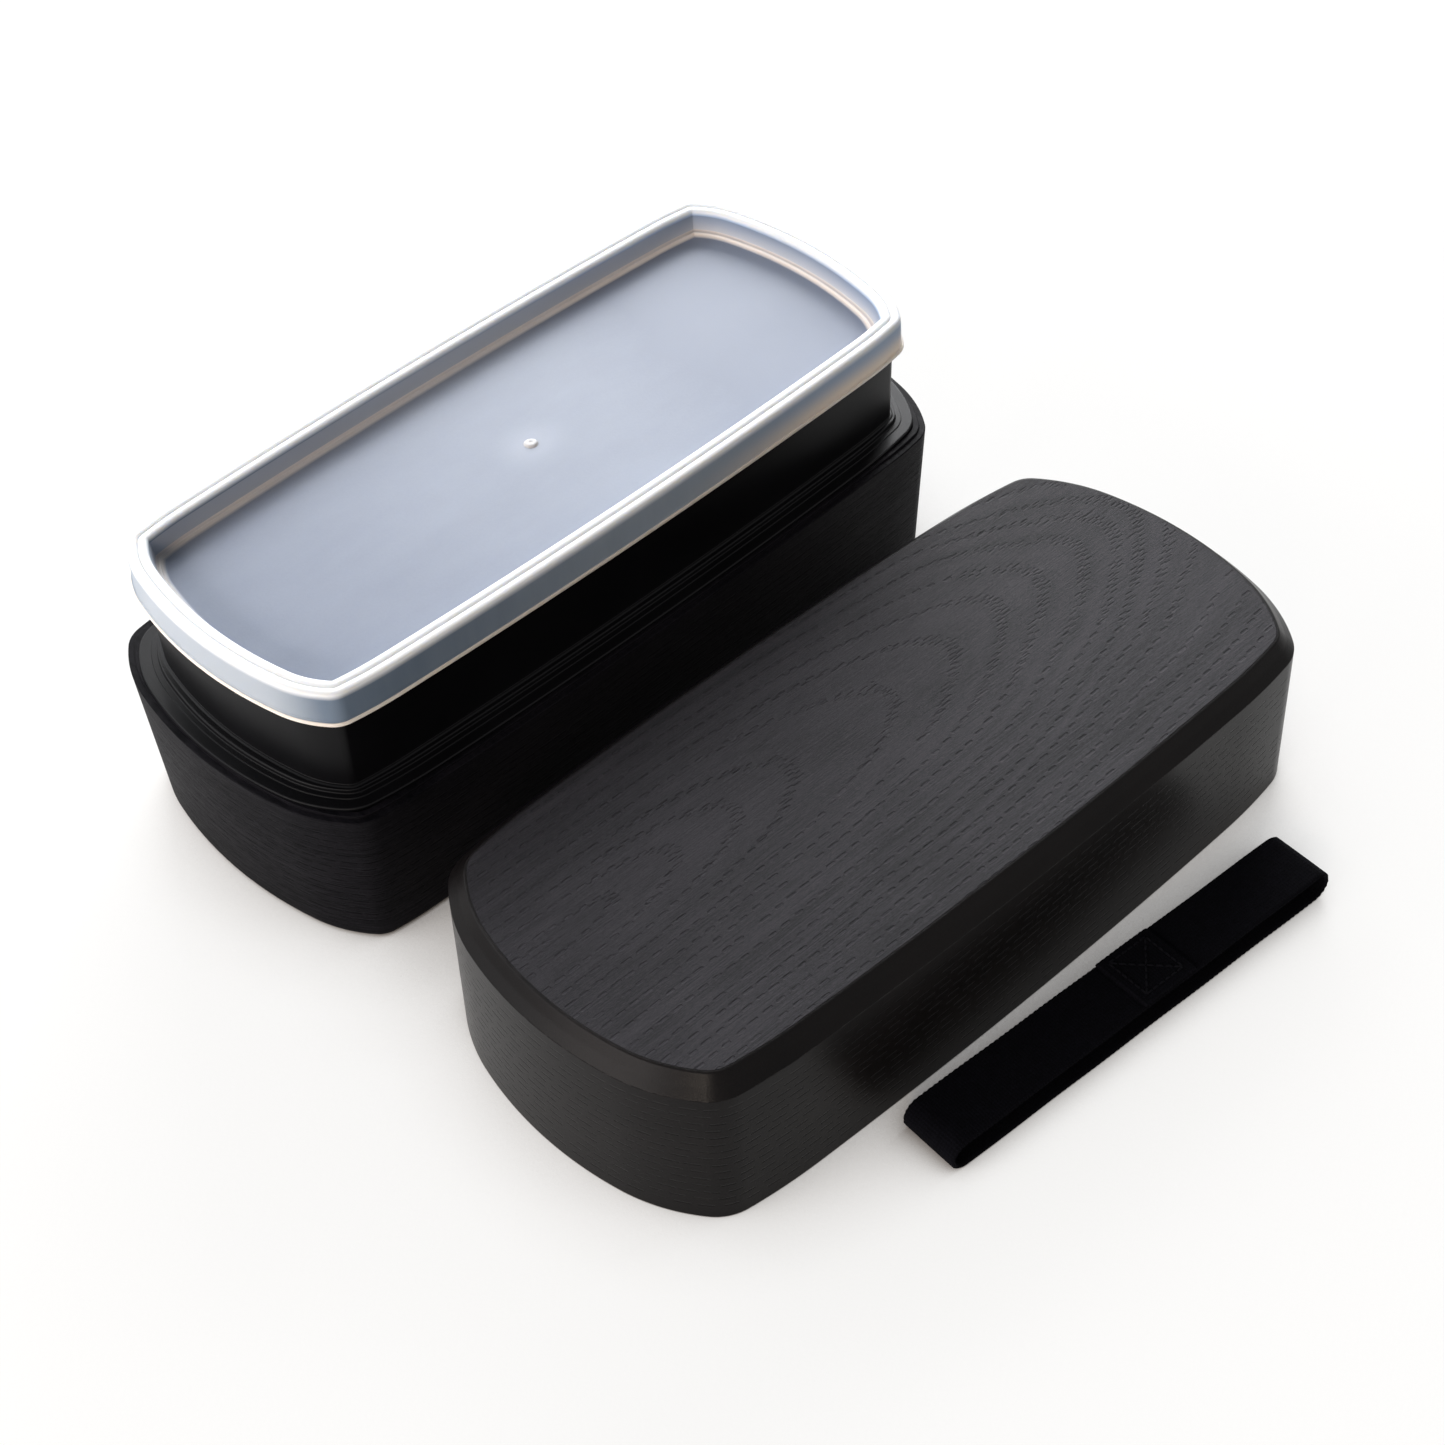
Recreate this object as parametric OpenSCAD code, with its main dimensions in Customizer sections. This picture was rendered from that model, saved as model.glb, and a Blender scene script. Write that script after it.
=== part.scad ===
// Two-tier bento lunch box, laid out for filling: the lower and upper boxes are stacked with the
// sealing lid on, and the deep cover and the elastic band lie beside them on the table.
// X runs along the boxes, Y across them, Z up. The origin is the centre of the lower box's underside.

/* [Cover] */
// Length of the cover at its mouth, over the bulged ends
cover_len = 225; // [205:1:245]
// Width of the cover at its mouth, over the bulged sides
cover_wid = 103; // [96:1:116]
// Height of the cover
cover_h = 47.5; // [44:0.5:60]
// Wall of the cover
cover_wall = 2.2; // [1.6:0.1:2.6]
// How much narrower each wall of the cover is at the chamfer than at the mouth
cover_draft = 0.6; // [0.2:0.1:1.2]
// Height of the chamfer round the cover's top
chamfer_h = 4.9; // [3:0.1:8]
// Inward run of the chamfer
chamfer_in = 4.2; // [2.5:0.1:7]

/* [Outline] */
// Radius of the shoulder between a short end and its corner, at the cover's mouth
shoulder_r = 49; // [40:1:60]
// Corner radius of the cover's mouth
corner_r = 13; // [9:0.5:18]
// Radius of the flank between a corner and its long side, at the cover's mouth
flank_r = 160; // [100:5:220]

/* [Lower box] */
// Height of the ledge that carries the cover
lower_h = 44.5; // [36:0.5:60]
// Wall of the lower box
lower_wall = 2.2; // [1.8:0.1:2.6]
// Floor of the lower box
lower_floor = 2.4; // [1.6:0.1:4]
// How much narrower each wall of the lower box is at the floor than at the ledge
lower_draft = 2.4; // [1:0.1:3.5]
// How far the cover stands out past the lower box all round
cover_overhang = 1.2; // [0.6:0.1:1.8]
// Width of the ledge
ledge_w = 1.7; // [1.3:0.1:2.2]
// Height of the lip inside the ledge
lip_h = 0.6; // [0.5:0.1:1.5]
// Width of the lip
lip_w = 2; // [1.4:0.1:2.6]
// Radius of the lower box's bottom edge
lower_edge_r = 2.6; // [1.5:0.1:4]
// How much larger the lower box's shoulder radius is than the upper box's
rim_shoulder = 13; // [12:0.5:15]
// How much larger the lower box's corner radius is than the upper box's
rim_corner = 5.2; // [4.8:0.1:5.8]
// How much smaller the lower box's flank radius is than the upper box's
rim_flank = 19; // [10:1:25]

/* [Divider] */
// Height of the divider
divider_h = 30; // [20:0.5:34]
// Thickness of the divider's plate
divider_t = 1.6; // [1.2:0.1:3]
// Width of the rails along the divider's edges
divider_rail = 6; // [4:0.5:10]
// Gap between each end of the divider and the lower box's wall at rest
divider_gap = 0.8; // [0.6:0.1:1.5]

/* [Upper box] */
// Distance from the lower box's outer edge in to the upper box's wall at the ends
step_end = 8.3; // [7.8:0.1:12]
// Distance from the lower box's outer edge in to the upper box's wall along the sides
step_side = 8.8; // [8:0.1:12]
// Radius of the upper box's shoulders
upper_shoulder_r = 27; // [20:1:34]
// Corner radius of the upper box
upper_corner_r = 4; // [2.5:0.5:6]
// Radius of the upper box's flanks
upper_flank_r = 105; // [70:5:150]
// Height of the upper box's rim above the ledge
upper_rise = 34; // [28:0.5:38]
// Wall of the upper box
upper_wall = 2; // [1.6:0.1:2.4]
// Floor of the upper box
upper_floor = 2.2; // [1.6:0.1:3]
// How much narrower each wall of the upper box is at the foot than at the rim
upper_draft = 0.6; // [0.2:0.1:1.2]
// Height of the shelf round the upper box's foot above the ledge
foot_h = 3; // [2.6:0.1:4]
// Depth of the foot's plug inside the lower box's mouth
plug_h = 4; // [2:0.1:6]
// Clearance of the plug all round
plug_gap = 0.35; // [0.3:0.05:0.6]
// Thickness of the foot's skirt and flange
skirt_t = 1.8; // [1.4:0.1:2.2]
// Height of the foot's flange above the lip
flange_h = 0.9; // [0.7:0.1:1.3]
// How far the foot's flange stands out past the shelf
flange_out = 4.7; // [4.6:0.1:4.9]
// Width of the low step outside the shelf
shelf_step = 1.6; // [1:0.1:2.5]
// How far the shelf stands out past the upper box's rim at the ends
shelf_end = 1.9; // [1.7:0.1:2.1]
// How far the shelf stands out past the upper box's rim along the sides
shelf_side = 1.5; // [1.3:0.1:1.7]
// How much larger the shelf's shoulder radius is than the upper box's
shelf_shoulder = 5.5; // [5:0.5:6.5]
// How much larger the shelf's corner radius is than the upper box's
shelf_corner = 2.8; // [2.4:0.1:3.2]
// How much larger the shelf's flank radius is than the upper box's
shelf_flank = 35; // [30:1:40]
// Radius of the inner bottom edge of both boxes
inner_r = 3; // [1.5:0.1:5]
// How far the snap bead stands out under the upper box's rim
bead = 0.8; // [0.5:0.1:1.1]

/* [Sealing lid] */
// Wall of the sealing lid
lid_t = 1.3; // [1:0.1:1.6]
// Height of the sealing lid's skirt
lid_skirt_h = 9.1; // [7:0.1:12]
// Clearance between the sealing lid and each side of the upper box's wall
lid_gap = 0.35; // [0.3:0.05:0.5]
// Depth of the recess in the sealing lid
recess_h = 6; // [4:0.1:8]
// Height of the two beads along the sealing lid's rim
rim_bead_h = 0.6; // [0.3:0.1:1]
// Diameter of the low boss in the middle of the recess
boss_d = 3; // [2:0.5:6]
// Height of the low boss
boss_h = 0.5; // [0.3:0.1:1]

/* [Band] */
// Length of the band lying flat
band_len = 127; // [110:1:150]
// Width of the webbing
band_wid = 17; // [12:0.5:25]
// Thickness of the webbing
band_t = 1.1; // [0.8:0.1:1.6]
// Height of the band lying flat
band_h = 9; // [6.8:0.1:10]
// Length of the sewn overlap
overlap_len = 17; // [12:0.5:24]
// Place of the overlap's middle from the band's middle
overlap_x = 7; // [-20:1:20]
// Side of the sewn square
stitch_side = 13; // [8:0.5:13]
// Width of a line of stitches
stitch_w = 0.7; // [0.5:0.1:1]
// Height of the stitches above the webbing
stitch_h = 0.3; // [0.2:0.05:0.5]

/* [Layout] */
// Gap between the lower box and the cover beside it
cover_beside = 18.2; // [10:0.1:60]
// Shift of the cover along the boxes
cover_shift = 2.6; // [-40:0.1:40]
// Turn of the cover on the table in degrees
cover_turn = -1.75; // [-4:0.05:4]
// Gap between the cover and the band
band_beside = 9.1; // [7:0.1:40]
// Shift of the band along the boxes
band_shift = 11; // [-40:0.1:40]
// Turn of the band on the table in degrees
band_turn = -4.8; // [-6:0.1:6]

/* [Hidden] */

// A quarter outline is five tangent arcs: end, shoulder, corner, flank and side. These are the
// directions that the outline faces where they meet, and the steps along each.
TURNS = [0, 13.3, 39, 80.5, 87.7, 90];
STEPS = [2, 3, 5, 1, 3];
// Steps of a rounded edge
EDGE_STEPS = 4;
// Break of a sharp moulded edge
BREAK = 0.3;

// A shape is [half length, half width, shoulder radius, corner radius, flank radius].
mouth = [cover_len / 2, cover_wid / 2, shoulder_r, corner_r, flank_r];
rim = [
    mouth[0] - cover_overhang, mouth[1] - cover_overhang,
    upper_shoulder_r + rim_shoulder, upper_corner_r + rim_corner, upper_flank_r - rim_flank
];
upper = [rim[0] - step_end, rim[1] - step_side, upper_shoulder_r, upper_corner_r, upper_flank_r];
foot = inset(upper, upper_draft);
shelf = [
    upper[0] + shelf_end, upper[1] + shelf_side,
    upper_shoulder_r + shelf_shoulder, upper_corner_r + shelf_corner, upper_flank_r + shelf_flank
];
flange = inset(shelf, -flange_out);

// Lower box
lip_in = ledge_w + lip_w;
lip_z = lower_h + lip_h;
lower_in = lower_draft + lower_wall;
plug_z = lower_h - plug_h;

// Upper box: its plug stands in the lower box's mouth and its flange rests on the lip.
plug_in = lip_in + plug_gap;
flange_z = lip_z + flange_h;
foot_z = lower_h + foot_h;
channel_z = flange_z - skirt_t;
upper_floor_z = plug_z + upper_floor;
upper_top = lower_h + upper_rise;
bead_z = upper_top - 3 * bead;

// Sealing lid: its underside rests on the upper box's rim and its skirt hangs round the bead.
lid = inset(upper, -bead - lid_gap - lid_t);
lid_rim_w = bead + 2 * lid_gap + 2 * lid_t + upper_wall;
lid_z = upper_top + lid_t;
lid_low = lid_z - lid_skirt_h;
bead_top = lid_z + rim_bead_h;
panel_z = lid_z - recess_h;

// Divider: it stands on the lower box's floor, clear of both long walls.
divider_top = lower_floor + divider_h;
divider_low_w = half_width_at(inset(rim, lower_in), divider_rail / 2) - divider_gap;

// Layout on the table
cover_y = -(rim[1] + cover_beside + mouth[1]);
band_y = cover_y - mouth[1] - band_beside - band_wid / 2;

function dir(angle) = [cos(angle), sin(angle)];

function inset(s, d) = [s[0] - d, s[1] - d, s[2] - d, max(s[3] - d, BREAK), s[4] - d];

// Radii of a quarter outline's arcs: those of the end and the side follow from the lengths
function radii(s) =
    let (
        x = [for (i = [0:4]) cos(TURNS[i]) - cos(TURNS[i + 1])],
        y = [for (i = [0:4]) sin(TURNS[i + 1]) - sin(TURNS[i])],
        left_x = s[0] - x[1] * s[2] - x[2] * s[3] - x[3] * s[4],
        left_y = s[1] - y[1] * s[2] - y[2] * s[3] - y[3] * s[4],
        both = x[0] * y[4] - x[4] * y[0]
    )
    [(left_x * y[4] - left_y * x[4]) / both, s[2], s[3], s[4], (left_y * x[0] - left_x * y[0]) / both];

// Half width of a shape at a distance x from its middle, on the side arc
function half_width_at(s, x) = let (r = radii(s)[4]) s[1] - r + sqrt(r * r - x * x);

// Point where arc i of a quarter outline starts
function arc_start(s, r, i) =
    i == 0 ? [s[0], 0] : arc_start(s, r, i - 1) + r[i - 1] * (dir(TURNS[i]) - dir(TURNS[i - 1]));

// First quarter of an outline, from the middle of the +X end to the middle of the +Y side
function quarter(s) =
    let (r = radii(s))
    concat(
        [
            for (i = [0:4], k = [0:STEPS[i] - 1])
            arc_start(s, r, i) + r[i] * (dir(TURNS[i] + (TURNS[i + 1] - TURNS[i]) * k / STEPS[i]) - dir(TURNS[i]))
        ],
        [[0, s[1]]]
    );

// Whole outline, anticlockwise from the middle of the +X end
function outline(s) =
    let (q = quarter(s), n = len(q))
    concat(
        q,
        [for (i = [n - 2:-1:0]) [-q[i][0], q[i][1]]],
        [for (i = [1:n - 1]) [-q[i][0], -q[i][1]]],
        [for (i = [n - 2:-1:1]) [q[i][0], -q[i][1]]]
    );

// A skin through [shape, z] sections, closed by a flat face at the first and at the last of them
module loft(sections) {
    rings = [for (s = sections) outline(s[0])];
    n = len(rings[0]);
    last = len(sections) - 1;
    corners = [for (i = [0:last], p = rings[i]) [p[0], p[1], sections[i][1]]];
    bottom = [for (j = [n - 1:-1:0]) j];
    top = [for (j = [0:n - 1]) last * n + j];
    walls = [
        for (i = [0:last - 1], j = [0:n - 1])
        let (a = i * n + j, b = i * n + (j + 1) % n)
        each [[a, b, b + n], [a, b + n, a + n]]
    ];
    polyhedron(points = corners, faces = concat([bottom], walls, [top]), convexity = 6);
}

// Sections of a rounded bottom edge, from the underside out to the wall
function bottom_edge(s, r, z) =
    [for (i = [0:EDGE_STEPS]) let (t = 90 * i / EDGE_STEPS) [inset(s, r * (1 - sin(t))), z + r * (1 - cos(t))]];

// Sections of a low rounded bead on top of a rim, from inset d to inset d + w
function rim_bead(s, d, w, z, h) =
    [for (i = [0:EDGE_STEPS]) let (t = 180 * i / EDGE_STEPS) [inset(s, d + w * (1 - cos(t)) / 2), z + h * sin(t)]];

function reversed(list) = [for (i = [len(list) - 1:-1:0]) list[i]];

// ---- pieces --------------------------------------------------------------------------------

// Open box whose rim has an outer ledge for the cover and a raised lip for the upper box
module lower_box() {
    color([0.17, 0.17, 0.18])
    loft(concat(
        bottom_edge(inset(rim, lower_draft), lower_edge_r, 0),
        [
            [rim, lower_h - BREAK],
            [inset(rim, BREAK), lower_h],
            [inset(rim, ledge_w), lower_h],
            [inset(rim, ledge_w), lip_z - BREAK],
            [inset(rim, ledge_w + BREAK), lip_z],
            [inset(rim, lip_in - BREAK), lip_z],
            [inset(rim, lip_in), lip_z - BREAK],
            [inset(rim, lip_in), plug_z - BREAK]
        ],
        reversed(bottom_edge(inset(rim, lower_in), inner_r, lower_floor))
    ));
}

// Outline of the divider across the box, drawn inwards by d from its edges
module divider_outline(d) {
    top_w = divider_low_w + (lower_in - lip_in) * divider_h / (plug_z - lower_floor);
    cut = inner_r + divider_gap;
    polygon([
        [-divider_low_w + cut + d / 2, lower_floor + d],
        [divider_low_w - cut - d / 2, lower_floor + d],
        [divider_low_w - d, lower_floor + cut + d / 2],
        [top_w - d, divider_top + d],
        [d - top_w, divider_top + d],
        [d - divider_low_w, lower_floor + cut + d / 2]
    ]);
}

// Loose plate that parts the lower box in two, with a rail round its sides and foot
module divider() {
    color([0.2, 0.2, 0.21])
    rotate([90, 0, 90])
    union() {
        linear_extrude(height = divider_t, center = true) divider_outline(0);
        linear_extrude(height = divider_rail, center = true)
        intersection() {
            difference() {
                divider_outline(0);
                divider_outline(divider_t);
            }
            translate([-cover_wid, 0]) square([2 * cover_wid, divider_top]);
        }
    }
}

// Box on a stepped foot: the foot is hollow underneath, its plug locates in the lower box's mouth
module upper_box() {
    color([0.12, 0.12, 0.13])
    loft(concat(
        bottom_edge(inset(foot, BREAK), 3 * BREAK, plug_z),
        [
            [inset(foot, BREAK), channel_z],
            [inset(rim, plug_in + skirt_t), channel_z],
            [inset(rim, plug_in + skirt_t), plug_z],
            [inset(rim, plug_in + BREAK), plug_z],
            [inset(rim, plug_in), plug_z + BREAK],
            [inset(rim, plug_in), lip_z],
            [inset(flange, BREAK), lip_z],
            [flange, lip_z + BREAK],
            [flange, flange_z - BREAK],
            [inset(flange, BREAK / 2), flange_z - BREAK / 2],
            [inset(flange, 2 * BREAK), flange_z],
            [inset(shelf, -shelf_step), flange_z],
            [inset(shelf, BREAK / 2 - shelf_step), flange_z + BREAK / 2],
            [inset(shelf, -BREAK), flange_z + BREAK],
            [shelf, foot_z - 2 * BREAK],
            [inset(shelf, BREAK), foot_z],
            [inset(foot, -2 * BREAK), foot_z],
            [inset(foot, -BREAK / 2), foot_z + BREAK / 2],
            [foot, foot_z + 2 * BREAK],
            [upper, bead_z - bead],
            [inset(upper, -bead), bead_z],
            [inset(upper, -bead), upper_top - 2 * BREAK],
            [inset(upper, BREAK - bead), upper_top],
            [inset(upper, upper_wall - BREAK), upper_top],
            [inset(upper, upper_wall), upper_top - BREAK]
        ],
        reversed(bottom_edge(inset(foot, upper_wall), inner_r, upper_floor_z))
    ));
}

// Soft lid that snaps over the upper box's bead, with a recess inside its double-beaded rim
module sealing_lid() {
    wall_in = lid_rim_w - lid_t;
    bead_w = (lid_rim_w - 4 * BREAK) / 2;
    color([0.78, 0.81, 0.85, 0.6]) {
        loft(concat(
            [
                [inset(lid, wall_in + 5 * BREAK), panel_z - lid_t],
                [inset(lid, wall_in + 2 * BREAK), panel_z - lid_t + 3 * BREAK],
                [inset(lid, wall_in), upper_top],
                [inset(lid, lid_t), upper_top],
                [inset(lid, lid_t), lid_low],
                [inset(lid, -1.5 * BREAK), lid_low],
                [inset(lid, -1.5 * BREAK), lid_low + 3 * BREAK],
                [lid, lid_low + 4 * BREAK],
                [inset(lid, BREAK), upper_top],
                [inset(lid, 1.5 * BREAK), lid_z - 2 * BREAK]
            ],
            rim_bead(lid, 2 * BREAK, bead_w, lid_z, rim_bead_h),
            rim_bead(lid, 2 * BREAK + bead_w, bead_w, lid_z, rim_bead_h),
            [
                [inset(lid, lid_rim_w - BREAK), lid_z - 2 * BREAK],
                [inset(lid, lid_rim_w + BREAK), panel_z + 4 * BREAK],
                [inset(lid, lid_rim_w + 2 * BREAK), panel_z + 3 * BREAK],
                [inset(lid, lid_rim_w + 4 * BREAK), panel_z + 3 * BREAK],
                [inset(lid, lid_rim_w + 5 * BREAK), panel_z + BREAK],
                [inset(lid, lid_rim_w + 7 * BREAK), panel_z]
            ]
        ));
        translate([0, 0, panel_z - BREAK]) cylinder(d = boss_d, h = boss_h + BREAK, $fn = 32);
    }
}

// Deep cover that goes over the upper box and stands on the lower box's ledge
module cover() {
    color([0.26, 0.26, 0.27])
    translate([cover_shift, cover_y, 0])
    rotate(cover_turn)
    loft([
        [inset(mouth, cover_draft + chamfer_in + cover_wall), cover_h - cover_wall],
        [inset(mouth, cover_draft + chamfer_in + cover_wall / 2), cover_h - cover_wall],
        [inset(mouth, cover_draft + cover_wall), cover_h - chamfer_h - cover_wall / 2],
        [inset(mouth, cover_wall), BREAK],
        [inset(mouth, cover_wall - BREAK), 0],
        [inset(mouth, BREAK), 0],
        [mouth, BREAK],
        [inset(mouth, cover_draft), cover_h - chamfer_h - BREAK],
        [inset(mouth, cover_draft + BREAK / 2), cover_h - chamfer_h],
        [inset(mouth, cover_draft + chamfer_in - BREAK), cover_h - BREAK],
        [inset(mouth, cover_draft + chamfer_in + BREAK), cover_h]
    ]);
}

// Upright outline of a flattened loop of webbing, drawn inwards by d
module loop_outline(d) {
    r = band_h / 2;
    straight = band_len - band_h;
    translate([-straight / 2, d]) square([straight, band_h - 2 * d]);
    for (side = [-1, 1]) translate([side * straight / 2, r]) circle(r = r - d, $fn = 48);
}

module place_band() {
    translate([band_shift, band_y, 0]) rotate(band_turn) children();
}

// Elastic webbing sewn into a loop, with the webbing doubled along the overlap
module elastic_band() {
    color([0.1, 0.1, 0.11])
    place_band()
    rotate([90, 0, 0])
    linear_extrude(height = band_wid, center = true) {
        difference() {
            loop_outline(0);
            loop_outline(band_t);
        }
        translate([overlap_x - overlap_len / 2, band_h - band_t]) square([overlap_len, 2 * band_t]);
    }
}

// Thread that sews the overlap: a square with both of its diagonals
module band_stitching() {
    color([0.14, 0.14, 0.15])
    place_band()
    translate([overlap_x, 0, band_h + band_t])
    linear_extrude(height = stitch_h) {
        difference() {
            square(stitch_side, center = true);
            square(stitch_side - 2 * stitch_w, center = true);
        }
        for (turn = [-45, 45]) {
            rotate(turn) square([(stitch_side - stitch_w) * sqrt(2), stitch_w], center = true);
        }
    }
}

lower_box();
divider();
upper_box();
sealing_lid();
cover();
elastic_band();
band_stitching();
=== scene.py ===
"""Two-tier bento lunch box laid out for filling: stacked boxes with the sealing lid on, the deep
wood-grained cover beside them, and the elastic band in front. Lengths in this file are millimetres
until a mesh is made, and X runs along the boxes, Y across them, Z up."""
import math

import bmesh
import bpy
import numpy as np
from mathutils import Matrix


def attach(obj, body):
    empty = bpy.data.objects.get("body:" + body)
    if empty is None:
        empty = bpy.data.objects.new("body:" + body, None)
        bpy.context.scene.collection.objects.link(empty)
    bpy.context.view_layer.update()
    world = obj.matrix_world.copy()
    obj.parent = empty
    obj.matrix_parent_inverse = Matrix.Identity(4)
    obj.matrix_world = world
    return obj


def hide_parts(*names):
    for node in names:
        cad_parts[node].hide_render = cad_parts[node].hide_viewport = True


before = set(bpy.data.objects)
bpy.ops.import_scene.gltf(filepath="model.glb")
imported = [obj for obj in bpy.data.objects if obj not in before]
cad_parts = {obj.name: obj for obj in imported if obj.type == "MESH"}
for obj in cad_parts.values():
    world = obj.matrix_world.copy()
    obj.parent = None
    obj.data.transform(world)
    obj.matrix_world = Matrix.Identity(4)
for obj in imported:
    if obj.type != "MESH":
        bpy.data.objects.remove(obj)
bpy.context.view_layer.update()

MM = 0.001

# ---- sizes, as in the part ------------------------------------------------------------------
# A shape is (half length, half width, shoulder radius, corner radius, flank radius).
MOUTH = np.array([112.5, 51.5, 49.0, 13.0, 160.0])
COVER_H, COVER_WALL, COVER_DRAFT, CHAMFER_H, CHAMFER_IN = 47.5, 2.2, 0.6, 4.9, 4.2
COVER_PLACE = (2.6, -120.0, -1.75)
LEDGE_Z, LOWER_WALL, LOWER_FLOOR, LOWER_DRAFT, LOWER_EDGE = 44.5, 2.2, 2.4, 2.4, 2.6
LEDGE_W, LIP_H, LIP_W = 1.7, 0.6, 2.0
DIVIDER_H, DIVIDER_T, DIVIDER_RAIL, DIVIDER_GAP = 30.0, 1.6, 6.0, 0.8
UPPER_WALL, UPPER_FLOOR, UPPER_DRAFT = 2.0, 2.2, 0.6
FOOT_H, PLUG_H, PLUG_GAP, SKIRT_T, FLANGE_H, INNER_R, BEAD = 3.0, 4.0, 0.35, 1.8, 0.9, 3.0, 0.8
UPPER_RISE = 34.0
LID_T, LID_SKIRT_H, LID_GAP, RECESS_H, RIM_BEAD_H = 1.3, 9.1, 0.35, 6.0, 0.6
BAND_LEN, BAND_WID, BAND_T, BAND_H = 127.0, 17.0, 1.1, 9.0
OVERLAP_LEN, OVERLAP_X, STITCH_SIDE = 17.0, 7.0, 13.0
BAND_PLACE = (11.0, -189.1, -4.8)


def inset(shape, d):
    """The shape moved inwards by d, or outwards where d is negative."""
    made = shape - d
    made[3] = max(made[3], 0.3)
    return made


RIM = np.array([MOUTH[0] - 1.2, MOUTH[1] - 1.2, 40.0, 9.2, 86.0])
UPPER = np.array([RIM[0] - 8.3, RIM[1] - 8.8, 27.0, 4.0, 105.0])
FOOT = inset(UPPER, UPPER_DRAFT)
SHELF = np.array([UPPER[0] + 1.9, UPPER[1] + 1.5, 32.5, 6.8, 140.0])
FLANGE = inset(SHELF, -4.7)
LID = inset(UPPER, -BEAD - LID_GAP - LID_T)

LIP_Z = LEDGE_Z + LIP_H
LIP_IN = LEDGE_W + LIP_W
PLUG_Z = LEDGE_Z - PLUG_H
FLANGE_Z = LIP_Z + FLANGE_H
FOOT_Z = LEDGE_Z + FOOT_H
UPPER_TOP = LEDGE_Z + UPPER_RISE
LID_Z = UPPER_TOP + LID_T
LID_LOW = LID_Z - LID_SKIRT_H
PANEL_Z = LID_Z - RECESS_H
RIM_W = BEAD + 2 * LID_GAP + 2 * LID_T + UPPER_WALL


# ---- mesh building --------------------------------------------------------------------------
# A quarter outline is five tangent arcs: end, shoulder, corner, flank and side. These are the
# directions that the outline faces where they meet.
TURNS = np.radians([0, 13.3, 39, 80.5, 87.7, 90])


def radii(shape):
    """Radii of a quarter outline's arcs: those of the end and the side follow from the lengths."""
    x, y = -np.diff(np.cos(TURNS)), np.diff(np.sin(TURNS))
    left = [shape[0] - x[1:4] @ shape[2:5], shape[1] - y[1:4] @ shape[2:5]]
    end, side = np.linalg.solve([[x[0], x[4]], [y[0], y[4]]], left)
    return [end, shape[2], shape[3], shape[4], side]


def outline(shape, steps):
    """Points of an outline, anticlockwise from the middle of the +X end. steps has a number for each arc."""
    start, quarter = np.array([shape[0], 0.0]), []
    for r, a, b, n in zip(radii(shape), TURNS, TURNS[1:], steps):
        turn = np.linspace(a, b, n + 1)
        arc = start + r * (np.stack([np.cos(turn), np.sin(turn)], 1) - [math.cos(a), math.sin(a)])
        quarter.append(arc[:-1])
        start = arc[-1]
    quarter = np.vstack(quarter + [[[0.0, shape[1]]]])
    left = quarter[-2::-1] * [-1, 1]
    half = np.vstack([quarter, left])
    return np.vstack([half, half[-2:0:-1] * [1, -1]])


def rounded(profile):
    """Sections (shape and height in one row) along a profile of (shape, z, radius), its corners rounded."""
    rows = [np.append(shape, z) for shape, z, _ in profile]
    out = [rows[0]]
    for i in range(1, len(rows) - 1):
        p, u, v = rows[i], rows[i - 1] - rows[i], rows[i + 1] - rows[i]
        lu, lv = math.hypot(u[0], u[5]), math.hypot(v[0], v[5])
        turn = math.pi - math.acos(max(-1, min(1, (u[0] * v[0] + u[5] * v[5]) / (lu * lv))))
        radius = profile[i][2]
        if radius == 0 or turn < 0.03:
            out.append(p)
            continue
        cut = min(radius * math.tan(turn / 2), 0.48 * lu, 0.48 * lv)
        start, end, weight = p + u * cut / lu, p + v * cut / lv, math.cos(turn / 2)
        n = max(2, math.ceil(turn / 0.22))
        for k in range(n + 1):
            t = k / n
            w = np.array([(1 - t) ** 2, 2 * t * (1 - t) * weight, t * t])
            out.append((w[0] * start + w[1] * p + w[2] * end) / w.sum())
    out.append(rows[-1])
    return out


def held(sections, hold=0.25, longest=400.0):
    """Adds a section close to each end of a long stretch, so that smooth shading stays in the rounded edges."""
    out = [sections[0]]
    for a, b in zip(sections, sections[1:]):
        length = math.hypot(b[0] - a[0], b[5] - a[5])
        if length > 5 * hold:
            inner = np.linspace(hold / length, 1 - hold / length, max(2, math.ceil(length / longest) + 1))
            out += [a + (b - a) * t for t in inner]
        out.append(b)
    return out


def cap(ring, z, count):
    """Rings of points that close an outline on to its middle line."""
    reach = ring[:, 0].max() - ring[:, 1].max()
    target = np.stack([np.clip(ring[:, 0], -reach, reach), np.zeros(len(ring))], 1)
    rings = []
    for i in range(1, count + 1):
        flat = ring + (target - ring) * (i / count)
        rings.append(np.column_stack([flat, np.full(len(ring), z)]))
    return rings


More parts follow.
